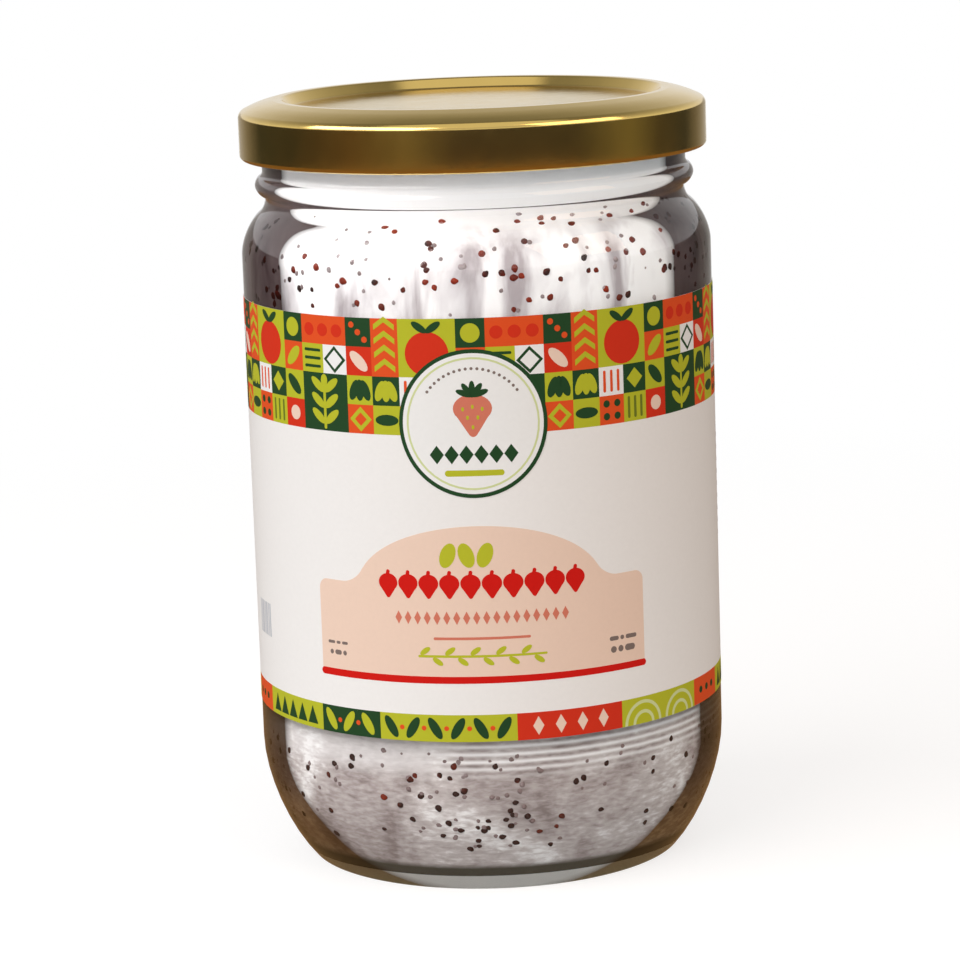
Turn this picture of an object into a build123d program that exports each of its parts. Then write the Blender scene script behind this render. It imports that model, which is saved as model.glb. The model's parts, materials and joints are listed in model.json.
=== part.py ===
from build123d import *
from math import acos, degrees, sin
import os

# A shut jam jar: the glass jar, its pressed twist-off lid, the jam and a wrap-around paper label.
# Millimetres, +Z up. The origin is the middle of the base, on the plane the jar stands on, and the
# label's front faces -Y. Every piece is round about Z, so each is drawn as half a section and turned.

# Overall sizes
glass_height = 139.2  # from the standing plane to the glass rim
finish_radius = 38.7  # outside of the glass under the lid, the size that lid and body follow

# Glass body
shoulder_step = 4.6  # how far the body stands out beyond the waist
wall = 2.4
heel_height = 21.8  # where the straight wall turns in towards the foot
foot_inset = 8.4  # from the body's outside to the foot's outer corner
foot_width = 3.6
foot_round = 1.8
push_up = 3.4  # rise of the hollow under the base
base_thickness = 4.4  # glass at the middle of the base
floor_edge_height = 3.4  # height of the inside floor at its rim
floor_inset = 12.0  # from the body's outside to the inside floor's rim
floor_round = 4.0

# Shoulder and waist
shoulder_radius = 10.0  # outward curve of the shoulder
waist_radius_of_curve = 2.8  # inward curve that ends the shoulder
waist_recess = 0.3  # how far the waist lies inside the finish wall
waist_drop = 17.1  # from the rim down to the waist

# Finish: bead, thread starts and rim
finish_wall = 2.9
bead_stand = 1.4
bead_round = 1.9
bead_hollow = 1.2  # small inward curves above and below the bead
rim_round = 1.2
thread_count = 6
thread_stand = 1.5
thread_drop = 7.95  # from the rim down to the underside of the threads
thread_height = 2.0
thread_arc = 36.0  # degrees that one thread start covers
thread_root = 0.5  # how far a thread start is let into the wall

# Lid
sheet = 0.3
lid_running_gap = 0.7  # between the threads and the lid's curl
curl_diameter = 1.7
curl_arc = 240.0  # degrees that the rolled edge turns through
corner_drop = 1.1  # from the rim down to where the lid's slope would meet its skirt
corner_round = 1.4
crest_rise = 1.1  # from the rim up to the top of the lid's raised ring
crest_width = 1.6
crest_round = 0.7
crest_inset = 1.2  # from the mouth's wall in to the inner edge of the raised ring
slope_bow = 0.35  # how far the slope outside the ring bulges at its middle
slope_round = 14.0
panel_drop = 0.8  # from the rim down to the sunk panel
panel_inset = 2.5  # from the mouth's wall in to the panel's edge
lug_arc = 14.0  # degrees that one lid lug covers
lug_thickness = 0.9
lug_clearance = 0.3  # between a lug and the glass, under the thread and beside the wall
lug_root = 0.25  # how far a lug is let into the wall of the rolled edge

# Jam
headspace = 9.6  # from the rim down to the jam's edge
dish = 0.7  # how far the jam's middle lies below its edge
fill_gap = 0.05  # between the jam and the glass

# Label
label_lift = 29.5  # from the standing plane to the label's lower edge
label_shoulder_gap = 7.4  # from the label's upper edge to the start of the shoulder
label_thickness = 0.15
glue_gap = 0.05
seam_gap = 7.0  # between the label's two ends, at the back

# Places worked out from the sizes above
waist_radius = finish_radius - waist_recess
body_radius = waist_radius + shoulder_step
mouth_radius = finish_radius - finish_wall
inner_radius = body_radius - wall
thread_radius = finish_radius + thread_stand
lid_radius = thread_radius + lid_running_gap + curl_diameter
waist_height = glass_height - waist_drop
thread_underside = glass_height - thread_drop
lug_top = thread_underside - lug_clearance


def blend_turn(step, first_radius, second_radius):
    """Angle through which each of two tangent arcs turns to make a sideways step."""
    return acos(1 - step / (first_radius + second_radius))


def blend_rise(step, first_radius, second_radius):
    """Height of the S-curve that those two arcs make."""
    return (first_radius + second_radius) * sin(blend_turn(step, first_radius, second_radius))


def s_curve(start, first_radius, second_radius, step):
    """Draw an upright S-curve that moves sideways by step, inwards if step is negative."""
    inwards = 1 if step < 0 else -1
    turn = degrees(blend_turn(abs(step), first_radius, second_radius))
    first = JernArc(start=start, tangent=(0, 1), radius=first_radius, arc_size=inwards * turn)
    second = JernArc(start=first @ 1, tangent=first % 1, radius=second_radius, arc_size=-inwards * turn)
    return second @ 1


shoulder_rise = blend_rise(shoulder_step, shoulder_radius, waist_radius_of_curve)
shoulder_start = waist_height - shoulder_rise
inner_step = inner_radius - mouth_radius
inner_waist_curve = waist_radius_of_curve + wall
inner_shoulder_radius = shoulder_radius - wall
inner_start = waist_height - blend_rise(inner_step, inner_shoulder_radius, inner_waist_curve)


def draw_outside():
    """Outside of the glass, from the axis under the base to the rim's outer edge."""
    foot_radius = body_radius - foot_inset
    hollow = TangentArc((0, push_up), (foot_radius - foot_width, 0), tangent=(1, 0))
    foot = Line(hollow @ 1, (foot_radius, 0))
    heel = TangentArc((body_radius, heel_height), foot @ 1, tangent=(0, -1))
    body = Line(heel @ 0, (body_radius, shoulder_start))
    waist = s_curve(body @ 1, shoulder_radius, waist_radius_of_curve, -shoulder_step)
    bead = s_curve(waist, bead_hollow, bead_round, bead_stand + waist_recess)
    finish = s_curve(bead, bead_round, bead_hollow, -bead_stand)
    Line(finish, (finish_radius, glass_height))


def draw_cavity(gap):
    """Inside of the glass, from the axis at the floor to the rim, less a gap all round."""
    floor = TangentArc(
        (0, push_up + base_thickness + gap),
        (body_radius - floor_inset, floor_edge_height + gap),
        tangent=(1, 0),
    )
    heel = TangentArc((inner_radius - gap, heel_height), floor @ 1, tangent=(0, -1))
    body = Line(heel @ 0, (inner_radius - gap, inner_start))
    neck = s_curve(body @ 1, inner_shoulder_radius, inner_waist_curve, -inner_step)
    Line(neck, (mouth_radius - gap, glass_height))


def round_corner(section, place, radius):
    """Fillet the one corner of a section that lies at a place."""
    fillet(section.vertices().sort_by_distance(place)[0], radius)


def start_planes(arc):
    """Upright planes, one at the beginning of each thread start or lug that covers an arc."""
    return [
        Plane.XZ.rotated((0, 0, start * 360 / thread_count - arc / 2))
        for start in range(thread_count)
    ]


def make_jar():
    """Glass jar: foot, heel, body, shoulder, waist, bead and a finish with thread starts."""
    with BuildPart() as jar:
        with BuildSketch(Plane.XZ) as section:
            with BuildLine():
                draw_outside()
                draw_cavity(0)
                Line((0, push_up), (0, push_up + base_thickness))
                Line((mouth_radius, glass_height), (finish_radius, glass_height))
            make_face()
            fillet(section.vertices().group_by(Axis.Y)[-1], rim_round)
            round_corner(section, (body_radius - foot_inset, 0), foot_round)
            round_corner(section, (body_radius - floor_inset, floor_edge_height), floor_round)
        revolve(axis=Axis.Z)
        for plane in start_planes(thread_arc):
            with BuildSketch(plane):
                with BuildLine():
                    Polyline(
                        (finish_radius - thread_root, thread_underside),
                        (thread_radius, thread_underside + thread_height / 4),
                        (thread_radius, thread_underside + thread_height / 2),
                        (finish_radius - thread_root, thread_underside + thread_height),
                        close=True,
                    )
                make_face()
            revolve(axis=Axis.Z, revolution_arc=thread_arc)
    jar.part.label = "jar"
    return jar.part


def make_lid():
    """Pressed lid: sunk panel, raised ring over the rim, skirt, rolled edge and lugs."""
    panel_height = glass_height - panel_drop
    crest_height = glass_height + crest_rise
    crest_inner = mouth_radius - crest_inset
    crest_outer = crest_inner + crest_width
    corner_height = glass_height - corner_drop
    curl_radius = curl_diameter / 2
    curl_height = lug_top - lug_thickness / 2
    lug_inner = finish_radius + lug_clearance
    lug_outer = lid_radius - curl_diameter + lug_root
    with BuildPart() as lid:
        with BuildSketch(Plane.XZ):
            with BuildLine():
                FilletPolyline(
                    (0, panel_height),
                    (mouth_radius - panel_inset, panel_height),
                    (crest_inner, crest_height),
                    (crest_outer, crest_height),
                    (
                        (crest_outer + lid_radius) / 2,
                        (crest_height + corner_height) / 2 + slope_bow,
                    ),
                    (lid_radius, corner_height),
                    (lid_radius, curl_height),
                    radius=(crest_round, crest_round, crest_round, slope_round, corner_round),
                )
                CenterArc((lid_radius - curl_radius, curl_height), curl_radius, 0, -curl_arc)
                offset(amount=sheet, side=Side.RIGHT)
            make_face()
        revolve(axis=Axis.Z)
        for plane in start_planes(lug_arc):
            with BuildSketch(plane):
                with BuildLine():
                    Polyline(
                        (lug_inner, lug_top - lug_thickness),
                        (lug_outer, lug_top - lug_thickness),
                        (lug_outer, lug_top),
                        (lug_inner, lug_top),
                        close=True,
                    )
                make_face()
            revolve(axis=Axis.Z, revolution_arc=lug_arc)
    lid.part.label = "lid"
    return lid.part


def make_jam():
    """Jam: fills the glass up to a slightly dished top."""
    level = glass_height - headspace
    with BuildPart() as jam:
        with BuildSketch(Plane.XZ) as section:
            with BuildLine():
                draw_cavity(fill_gap)
                Polyline(
                    (mouth_radius - fill_gap, glass_height),
                    (0, glass_height),
                    (0, push_up + base_thickness + fill_gap),
                )
            make_face()
            round_corner(section, (body_radius - floor_inset, floor_edge_height), floor_round)
            with BuildLine():
                top = TangentArc((0, level - dish), (body_radius, level), tangent=(1, 0))
                Polyline(top @ 1, (body_radius, glass_height), (0, glass_height), top @ 0)
            make_face(mode=Mode.SUBTRACT)
        revolve(axis=Axis.Z)
    jam.part.label = "jam"
    return jam.part


def make_label():
    """Paper label wrapped round the straight wall, its ends apart at the back."""
    inside = body_radius + glue_gap
    outside = inside + label_thickness
    label_top = shoulder_start - label_shoulder_gap
    with BuildPart() as label:
        with BuildSketch(Plane.XY.offset(label_lift)):
            Circle(outside)
            Circle(inside, mode=Mode.SUBTRACT)
            with Locations((0, outside)):
                Rectangle(seam_gap, 2 * shoulder_step, mode=Mode.SUBTRACT)
        extrude(amount=label_top - label_lift)
    label.part.label = "label"
    return label.part


os.makedirs("parts", exist_ok=True)
for piece in (make_jar(), make_lid(), make_jam(), make_label()):
    export_step(piece, f"parts/{piece.label}.step")
    print(piece.label, "volume", round(piece.volume), "mm3, box", piece.bounding_box().size)
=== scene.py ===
# %% [markdown]
# # A shut jam jar
#
# The CAD model gives the jar its size: a glass jar, a pressed gold lid, the jam and a paper label.
# This lesson keeps those four places and makes each of them again with the looks of the real
# thing. Everything is in metres, the jar stands on z = 0 and the label's front faces -Y.

# %% Load the frame
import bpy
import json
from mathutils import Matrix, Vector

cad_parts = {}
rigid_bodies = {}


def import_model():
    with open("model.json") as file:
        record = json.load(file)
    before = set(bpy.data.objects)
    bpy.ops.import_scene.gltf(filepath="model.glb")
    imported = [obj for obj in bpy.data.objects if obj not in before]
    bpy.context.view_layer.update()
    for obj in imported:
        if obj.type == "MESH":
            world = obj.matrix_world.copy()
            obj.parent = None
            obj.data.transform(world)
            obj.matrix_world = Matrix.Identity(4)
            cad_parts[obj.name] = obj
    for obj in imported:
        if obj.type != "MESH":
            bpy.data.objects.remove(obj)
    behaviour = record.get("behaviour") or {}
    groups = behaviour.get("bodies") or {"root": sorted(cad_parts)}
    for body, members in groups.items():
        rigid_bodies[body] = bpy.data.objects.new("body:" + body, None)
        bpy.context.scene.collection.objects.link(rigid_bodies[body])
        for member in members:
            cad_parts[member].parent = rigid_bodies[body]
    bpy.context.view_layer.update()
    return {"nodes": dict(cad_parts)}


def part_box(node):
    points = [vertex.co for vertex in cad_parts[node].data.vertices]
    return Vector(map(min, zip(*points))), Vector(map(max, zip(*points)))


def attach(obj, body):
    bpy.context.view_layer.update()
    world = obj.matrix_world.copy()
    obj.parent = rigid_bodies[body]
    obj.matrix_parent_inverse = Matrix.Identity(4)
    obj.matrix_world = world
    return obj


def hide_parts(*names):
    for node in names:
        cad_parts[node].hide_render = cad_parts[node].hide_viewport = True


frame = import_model()
print("CAD nodes:", sorted(frame["nodes"]))

# %% [markdown]
# The overall sizes are read from the CAD nodes, so the pieces made here always fit them. The
# smaller sizes, such as a wall or a rounding, are a glass maker's or a press tool's own values.

# %% Sizes from the frame
import json
import math
import random

import bmesh
import bpy
from mathutils import Matrix, Vector

mm = 0.001
body_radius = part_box("jar")[1].x
glass_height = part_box("jar")[1].z
lid_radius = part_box("lid")[1].x
crest_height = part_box("lid")[1].z
jam_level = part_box("jam")[1].z
label_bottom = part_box("label")[0].z
label_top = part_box("label")[1].z
print("body", body_radius / mm, "glass", glass_height / mm, "jam level", jam_level / mm)

# %% [markdown]
# Glass jars and pressed lids are round about one axis, so the natural way to make them is a
# lathe: draw half a section, round its corners and turn it. The first tool makes a single point
# to draw from, the second extrudes it from corner to corner, and the third rounds a corner with
# a vertex bevel, whose offset is the radius times the tangent of half the turn.

# %% Tools: draw a section
def start_point(name):
    """Add a plane, shrink it to one point at the origin and stay in edit mode."""
    bpy.ops.object.select_all(action="DESELECT")
    bpy.ops.mesh.primitive_plane_add(size=mm)
    piece = bpy.context.object
    piece.name = name
    piece.data.name = name
    bpy.ops.object.mode_set(mode="EDIT")
    bpy.ops.mesh.select_mode(type="VERT")
    bpy.ops.mesh.select_all(action="SELECT")
    bpy.ops.mesh.merge(type="CENTER")
    return piece


def pick(piece, kind, rule):
    """Select the verts, edges or faces of a mesh in edit mode for which a rule holds."""
    modes = {"verts": "VERT", "edges": "EDGE", "faces": "FACE"}
    bpy.ops.mesh.select_mode(type=modes[kind])
    bpy.ops.mesh.select_all(action="DESELECT")
    mesh = bmesh.from_edit_mesh(piece.data)
    for part in getattr(mesh, kind):
        if rule(part):
            part.select_set(True)
    bmesh.update_edit_mesh(piece.data)


def round_corner(piece, place, radius):
    """Round the corner of a drawn line that lies at a place."""
    mesh = bmesh.from_edit_mesh(piece.data)
    corner = min(mesh.verts, key=lambda vert: (vert.co - place).length)
    before, after = [edge.other_vert(corner).co - corner.co for edge in corner.link_edges]
    turn = math.pi - before.angle(after)
    steps = max(6, round(math.degrees(turn) / 5))
    index = corner.index
    pick(piece, "verts", lambda vert: vert.index == index)
    bpy.ops.mesh.bevel(offset=radius * math.tan(turn / 2), segments=steps, affect="VERTICES")


def draw_line(piece, corners, closed=False):
    """Extrude a point through corners of (across, up) or (across, up, radius), then round them."""
    places = [Vector((corner[0], 0, corner[1])) for corner in corners]
    bpy.ops.transform.translate(value=places[0])
    for here, there in zip(places, places[1:]):
        bpy.ops.mesh.extrude_region_move(TRANSFORM_OT_translate={"value": there - here})
    if closed:
        pick(piece, "verts", lambda vert: len(vert.link_edges) == 1)
        bpy.ops.mesh.edge_face_add()
    for place, corner in zip(places, corners):
        if len(corner) == 3:
            round_corner(piece, place, corner[2])


# %% [markdown]
# A glass wall steps in and out through S-curves, two arcs that meet without a kink. An S-curve
# is two rounded corners, so one tool works out where they lie. The other tool does the same for
# the long arc of a heel or of a hollow base, which starts straight and ends at a known place.

# %% Tools: corners of curves
def curve_rise(step, first_radius, second_radius):
    """How far up an S-curve reaches while it moves a wall sideways by a step."""
    turn = math.acos(1 - abs(step) / (first_radius + second_radius))
    return (first_radius + second_radius) * math.sin(turn)


def s_curve(across, up, step, first_radius, second_radius):
    """The two corners of an S-curve that moves a wall sideways, and the height where it ends."""
    turn = math.acos(1 - abs(step) / (first_radius + second_radius))
    rise = curve_rise(step, first_radius, second_radius)
    half = math.tan(turn / 2)
    first = (across, up + first_radius * half, first_radius)
    second = (across + step, up + rise - second_radius * half, second_radius)
    return [first, second], up + rise


def long_arc(along, aside):
    """How far along its start line an arc's corner lies, and its radius."""
    span = along**2 + aside**2
    return span / (2 * along), span / (2 * aside)


# %% [markdown]
# Spin turns the drawn line about Z. The last ring lands on the first and the points on the axis
# land on each other, so doubles are merged before the faces are told which way is out.

# %% Tools: turn a section and finish a piece
round_steps = 192
doubles_gap = 0.003 * mm


def turn_section():
    """Spin everything about Z, close the seam and point the faces outwards."""
    bpy.ops.mesh.select_mode(type="VERT")
    bpy.ops.mesh.select_all(action="SELECT")
    bpy.ops.mesh.remove_doubles(threshold=doubles_gap)
    bpy.ops.mesh.spin(steps=round_steps, angle=2 * math.pi, center=(0, 0, 0), axis=(0, 0, 1))
    bpy.ops.mesh.select_all(action="SELECT")
    bpy.ops.mesh.remove_doubles(threshold=doubles_gap)
    bpy.ops.mesh.normals_make_consistent(inside=False)


def apply_modifier(piece, kind, **settings):
    """Add a modifier with its settings and apply it at once."""
    modifier = piece.modifiers.new(kind.lower(), kind)
    for name, value in settings.items():
        setattr(modifier, name, value)
    bpy.context.view_layer.objects.active = piece
    bpy.ops.object.modifier_apply(modifier=modifier.name)


def join(pieces, name):
    """Join pieces into the first of them."""
    bpy.ops.object.select_all(action="DESELECT")
    for piece in pieces:
        piece.select_set(True)
    bpy.context.view_layer.objects.active = pieces[0]
    if len(pieces) > 1:
        bpy.ops.object.join()
    pieces[0].name = name
    pieces[0].data.name = name
    return pieces[0]


def settle(piece, material, node, smooth_angle):
    """Smooth a finished piece, give it its material and hang it on the frame."""
    bpy.ops.object.select_all(action="DESELECT")
    piece.select_set(True)
    bpy.context.view_layer.objects.active = piece
    bpy.ops.object.shade_smooth_by_angle(angle=math.radians(smooth_angle))
    piece.data.materials.clear()
    piece.data.materials.append(material)
    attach(piece, "root")
    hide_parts(node)
    print(piece.name, "has", len(piece.data.polygons), "faces")


# %% [markdown]
# Materials come before the pieces. A few short tools make and fill nodes, so that each material
# below reads as a list of steps. Wherever a node needs a value, the tools take a number, a colour
# or another node's output.

# %% Tools: nodes
def fill(tree, socket, value):
    """Link another node's output to a socket, or set the socket to a number or a colour."""
    if isinstance(value, bpy.types.NodeSocket):
        tree.links.new(value, socket)
    elif isinstance(value, tuple) and len(socket.default_value) > len(value):
        socket.default_value = (*value, 1)
    else:
        socket.default_value = value


def add_node(tree, kind, place, inputs=None, **settings):
    """A node with its settings made and its inputs filled, each by name or by number."""
    node = tree.nodes.new(kind)
    node.location = place
    for name, value in settings.items():
        setattr(node, name, value)
    for socket, value in (inputs or {}).items():
        fill(tree, node.inputs[socket], value)
    return node


def calculate(tree, place, operation, *values):
    """A Math node."""
    return add_node(tree, "ShaderNodeMath", place, dict(enumerate(values)), operation=operation).outputs[0]


def map_range(tree, place, value, low, high, first=0.0, last=1.0):
    """Carry a value from one range to another and hold it at the ends."""
    inputs = {"Value": value, "From Min": low, "From Max": high, "To Min": first, "To Max": last}
    return add_node(tree, "ShaderNodeMapRange", place, inputs).outputs[0]


def add_ramp(tree, place, value, stops):
    """A colour ramp with stops of (position, colour), or (position, grey)."""
    node = add_node(tree, "ShaderNodeValToRGB", place, {0: value})
    elements = node.color_ramp.elements
    while len(elements) < len(stops):
        elements.new(0.5)
    for element, (position, colour) in zip(elements, stops):
        element.position = position
        element.color = (*colour, 1) if isinstance(colour, tuple) else (colour, colour, colour, 1)
    return node.outputs[0]


def mix_colours(tree, place, factor, first, second, blend="MIX"):
    """A Mix node for colours."""
    return add_node(tree, "ShaderNodeMix", place, {0: factor, 6: first, 7: second},
                    data_type="RGBA", blend_type=blend).outputs[2]


def object_place(tree, place):
    """Where a point lies on the object."""
    return add_node(tree, "ShaderNodeTexCoord", place).outputs["Object"]


def axes(tree, place, vector):
    """The outputs X, Y and Z of a vector."""
    return add_node(tree, "ShaderNodeSeparateXYZ", place, {0: vector}).outputs


def add_noise(tree, place, vector, scale, detail=2.0, distortion=0.0):
    inputs = {"Vector": vector, "Scale": scale, "Detail": detail, "Distortion": distortion}
    return add_node(tree, "ShaderNodeTexNoise", place, inputs).outputs["Fac"]


# %% [markdown]
# A small node group gives every opaque surface its fine grain: a grey shade that hardly varies,
# and a height for a bump. It is built once, and each material sets its own scale and contrast.

# %% Tools: grain and materials
def make_grain():
    """Fine grain on Object coordinates: Shade is a grey around one, Height is for a bump."""
    group = bpy.data.node_groups.new("fine_grain", "ShaderNodeTree")
    for name, direction in (
            ("Scale", "INPUT"), ("Contrast", "INPUT"), ("Shade", "OUTPUT"), ("Height", "OUTPUT")):
        group.interface.new_socket(name=name, in_out=direction, socket_type="NodeSocketFloat")
    entry = add_node(group, "NodeGroupInput", (-600, 0)).outputs
    place = object_place(group, (-600, -200))
    noise = add_noise(group, (-400, 0), place, entry["Scale"], 4.0)
    centred = calculate(group, (-200, 0), "SUBTRACT", noise, 0.5)
    shade = calculate(group, (0, 0), "MULTIPLY_ADD", centred, entry["Contrast"], 1.0)
    add_node(group, "NodeGroupOutput", (400, 0), {"Shade": shade, "Height": noise})
    return group


fine_grain = make_grain()


def new_material(name, **values):
    """A material with one Principled shader. Values set its sockets by their names."""
    material = bpy.data.materials.new(name)
    material.use_nodes = True
    tree = material.node_tree
    shader = tree.nodes["Principled BSDF"]
    for socket, value in values.items():
        fill(tree, shader.inputs[socket.replace("_", " ")], value)
    return material, tree, shader


def add_grain(tree, scale, contrast):
    """The outputs Shade and Height of the grain."""
    return add_node(tree, "ShaderNodeGroup", (-900, -300), {"Scale": scale, "Contrast": contrast},
                    node_tree=fine_grain).outputs


def add_bump(tree, shader, height, distance, strength=1.0):
    """Bump a shader's surface."""
    bump = add_node(tree, "ShaderNodeBump", (-200, -400),
                    {"Height": height, "Distance": distance, "Strength": strength})
    fill(tree, shader.inputs["Normal"], bump.outputs["Normal"])


print("node groups:", [group.name for group in bpy.data.node_groups])

# %% [markdown]
# Clear jar glass is one Principled shader with full transmission. Looked at edge-on the wall is
# thick and holds the colour of the jam behind it, so its colour darkens as the surface turns
# away, through Layer Weight. Lamps reach the jam because the glass is transparent to shadow rays.

# %% Material: glass
def make_glass():
    """Clear glass, browner near the foot, whose dark edge is wider in some zones of height."""
    material, tree, shader = new_material(
        "clear_glass", Roughness=0.0, IOR=1.5, Transmission_Weight=1.0)
    place = object_place(tree, (-1400, 0))
    height = map_range(tree, (-1000, 0), axes(tree, (-1200, 0), place)["Z"], 0, glass_height)
    edge_colour = add_ramp(tree, (-800, 0), height, [
        (0.0, (0.10, 0.06, 0.02)),
        (0.05, (0.07, 0.025, 0.006)),
        (0.12, (0.012, 0.005, 0.003)),
        (0.2, (0.006, 0.004, 0.003)),
        (0.8, (0.008, 0.004, 0.004)),
        (1.0, (0.012, 0.008, 0.008)),
    ])
    edge_start = add_ramp(tree, (-800, -300), height, [
        (0.0, 0.46), (0.06, 0.48), (0.12, 0.54), (0.45, 0.54), (0.55, 0.40), (0.86, 0.40), (0.89, 0.52)])
    facing = add_node(tree, "ShaderNodeLayerWeight", (-1000, 300), {"Blend": 0.5})
    past = calculate(tree, (-600, 300), "SUBTRACT", facing.outputs["Facing"], edge_start)
    mask = map_range(tree, (-400, 300), past, 0, 0.06)
    colour = mix_colours(tree, (-200, 200), mask, (0.98, 0.985, 0.98), edge_colour)
    fill(tree, shader.inputs["Base Color"], colour)
    path = add_node(tree, "ShaderNodeLightPath", (300, 400))
    clear = add_node(tree, "ShaderNodeBsdfTransparent", (300, -200))
    mix = add_node(tree, "ShaderNodeMixShader", (500, 0), {
        0: path.outputs["Is Shadow Ray"], 1: shader.outputs[0], 2: clear.outputs[0]})
    output = tree.nodes["Material Output"]
    output.location = (700, 0)
    fill(tree, output.inputs[0], mix.outputs[0])
    return material


glass = make_glass()

# %% [markdown]
# The lid is tin plate under a gold lacquer: a metal with a faint orange-peel bump.

# %% Material: gold lacquer
def make_lacquer():
    material, tree, shader = new_material("gold_lacquer", Metallic=1.0)
    grain = add_grain(tree, 260.0, 0.08)
    colour = mix_colours(tree, (-400, 0), 1.0, (0.80, 0.57, 0.18), grain["Shade"], "MULTIPLY")
    fill(tree, shader.inputs["Base Color"], colour)
    rough = map_range(tree, (-400, -200), grain["Height"], 0, 1, 0.10, 0.18)
    fill(tree, shader.inputs["Roughness"], rough)
    add_bump(tree, shader, grain["Height"], 0.02 * mm)
    return material


lacquer = make_lacquer()

# %% [markdown]
# The jam looks silvery through the glass: white in the neck, where painted light also lifts the
# lid's shade, streaked with grey down to the label, and mottled mauve-grey below it. Just under the
# label a painted highlight pales it: an even wash at the left against the label's shadow, and level
# ripples at the right. A painted shadow line runs round the jam's lower corner, and the underside
# inside it is painted pale as if lit. Noise on Object coordinates gives the patches, and the height
# and the distance from the axis choose the zones.

# %% Material: jam, its patterns and painted light
def stretched_noise(tree, vector, row, stretch, scale, detail, distortion):
    """Noise whose features are stretched: a stretch under one makes them tall."""
    mapping = add_node(tree, "ShaderNodeMapping", (-1400, row), {
        0: vector, "Location": (12 * mm, 0, 0), "Scale": (1.0, 1.0, stretch)})
    return add_noise(tree, (-1200, row), mapping.outputs[0], scale, detail, distortion)


def under_label_highlight(tree, split, vector):
    """A painted highlight below the label: an even wash at the left against the label's shadow, pale level
    ripples at the right.
    """
    pitch = 1.37 * mm
    bands = add_node(tree, "ShaderNodeTexWave", (-1200, -700), {
        "Vector": vector, "Scale": math.pi / (10 * pitch), "Distortion": 1.2, "Detail Scale": 0.3,
    }, bands_direction="Z")
    height = map_range(tree, (-1200, -900), split["Z"], 0, label_bottom)
    highlight_zone = add_ramp(tree, (-1000, -900), height, [(0.74, 0.0), (0.84, 1.0), (0.98, 1.0), (1.0, 0.0)])
    side = map_range(tree, (-1000, -1100), split["X"], -14 * mm, -4 * mm)
    ripple_highlight = calculate(tree, (-1000, -700), "POWER", bands.outputs["Fac"], 1.3)
    highlight_wash = add_node(tree, "ShaderNodeMix", (-800, -700), {0: side, 2: 0.55, 3: ripple_highlight})
    return calculate(tree, (-600, -700), "MULTIPLY", highlight_wash.outputs[0], highlight_zone)


def foot_shade_line(tree, split, vector, colour):
    """Paint a shadow line round the jam's lower corner, and the underside inside it pale as if lit, over the
    jam's colour.
    """
    aside = add_node(tree, "ShaderNodeVectorMath", (-1400, 700), {0: vector, 1: (1, 1, 0)},
                     operation="MULTIPLY")
    reach = add_node(tree, "ShaderNodeVectorMath", (-1200, 700), {0: aside.outputs["Vector"]},
                     operation="LENGTH")
    share = calculate(tree, (-1000, 700), "DIVIDE", reach.outputs["Value"], body_radius)
    # Painted shade and light: a dark ring at the jam's lower corner, with the underside inside it painted
    # pale.
    foot = add_ramp(tree, (-800, 700), share, [(0.765, 1.0), (0.79, 0.0)])
    foot_shade_and_light = add_ramp(tree, (-800, 1000), share, [
        (0.66, (0.85, 0.83, 0.80)), (0.70, (0.035, 0.033, 0.022))])
    under = calculate(tree, (-1000, 900), "LESS_THAN", split["Z"], 12 * mm)
    line = calculate(tree, (-600, 700), "MULTIPLY", foot, under)
    return mix_colours(tree, (-100, 100), line, colour, foot_shade_and_light)


# %% Material: jam
def make_jam_material():
    material, tree, shader = new_material("jam_gel", Roughness=0.5, Specular_IOR_Level=0.25)
    vector = object_place(tree, (-1800, 0))
    split = axes(tree, (-1600, 300), vector)
    streaks = stretched_noise(tree, vector, -100, 0.35, 120.0, 5.0, 0.5)
    patches = stretched_noise(tree, vector, 100, 0.8, 70.0, 6.0, 0.8)
    strokes = stretched_noise(tree, vector, 300, 3.0, 520.0, 3.0, 0.3)
    mottle = calculate(tree, (-1000, 200), "MULTIPLY_ADD", strokes, 0.5, patches)
    low = add_ramp(tree, (-800, 200), mottle, [
        (0.56, (0.23, 0.19, 0.185)),
        (0.70, (0.37, 0.325, 0.32)),
        (0.84, (0.50, 0.46, 0.455)),
        (1.0, (0.80, 0.79, 0.79)),
    ])
    high = add_ramp(tree, (-800, -100), streaks, [
        (0.35, (0.40, 0.36, 0.38)),
        (0.44, (0.70, 0.68, 0.70)),
        (0.54, (0.96, 0.96, 0.97)),
    ])
    height = map_range(tree, (-1000, 500), split["Z"], label_bottom, label_top)
    colour = mix_colours(tree, (-500, 100), height, low, high)
    # Painted light: from 116 mm up the jam is whitened, lifting the shade that the lid casts over the neck.
    neck = map_range(tree, (-1000, -400), split["Z"], 116 * mm, 121 * mm)
    # Painted highlight: the jam is paled just under the label, against the shadow the label casts.
    label_highlight = calculate(tree, (-500, -300), "MULTIPLY", under_label_highlight(tree, split, vector), 0.75)
    shine = calculate(tree, (-400, -300), "MAXIMUM", label_highlight, neck)
    colour = mix_colours(tree, (-300, 100), shine, colour, (0.97, 0.97, 0.98))
    colour = foot_shade_line(tree, split, vector, colour)
    cool = map_range(tree, (-300, 400), split["X"], -10 * mm, 25 * mm)
    colour = mix_colours(tree, (0, 300), cool, colour, (0.96, 1.01, 1.04), "MULTIPLY")
    fill(tree, shader.inputs["Base Color"], colour)
    add_bump(tree, shader, add_grain(tree, 500.0, 0.1)["Height"], 0.3 * mm, 0.5)
    return material


jam_gel = make_jam_material()

# %% [markdown]
# The seeds are two kinds: dark brown ones that turn redder with height, where more light reaches
# them, and greyer ones that look as if they lay deeper in the jam.

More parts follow.
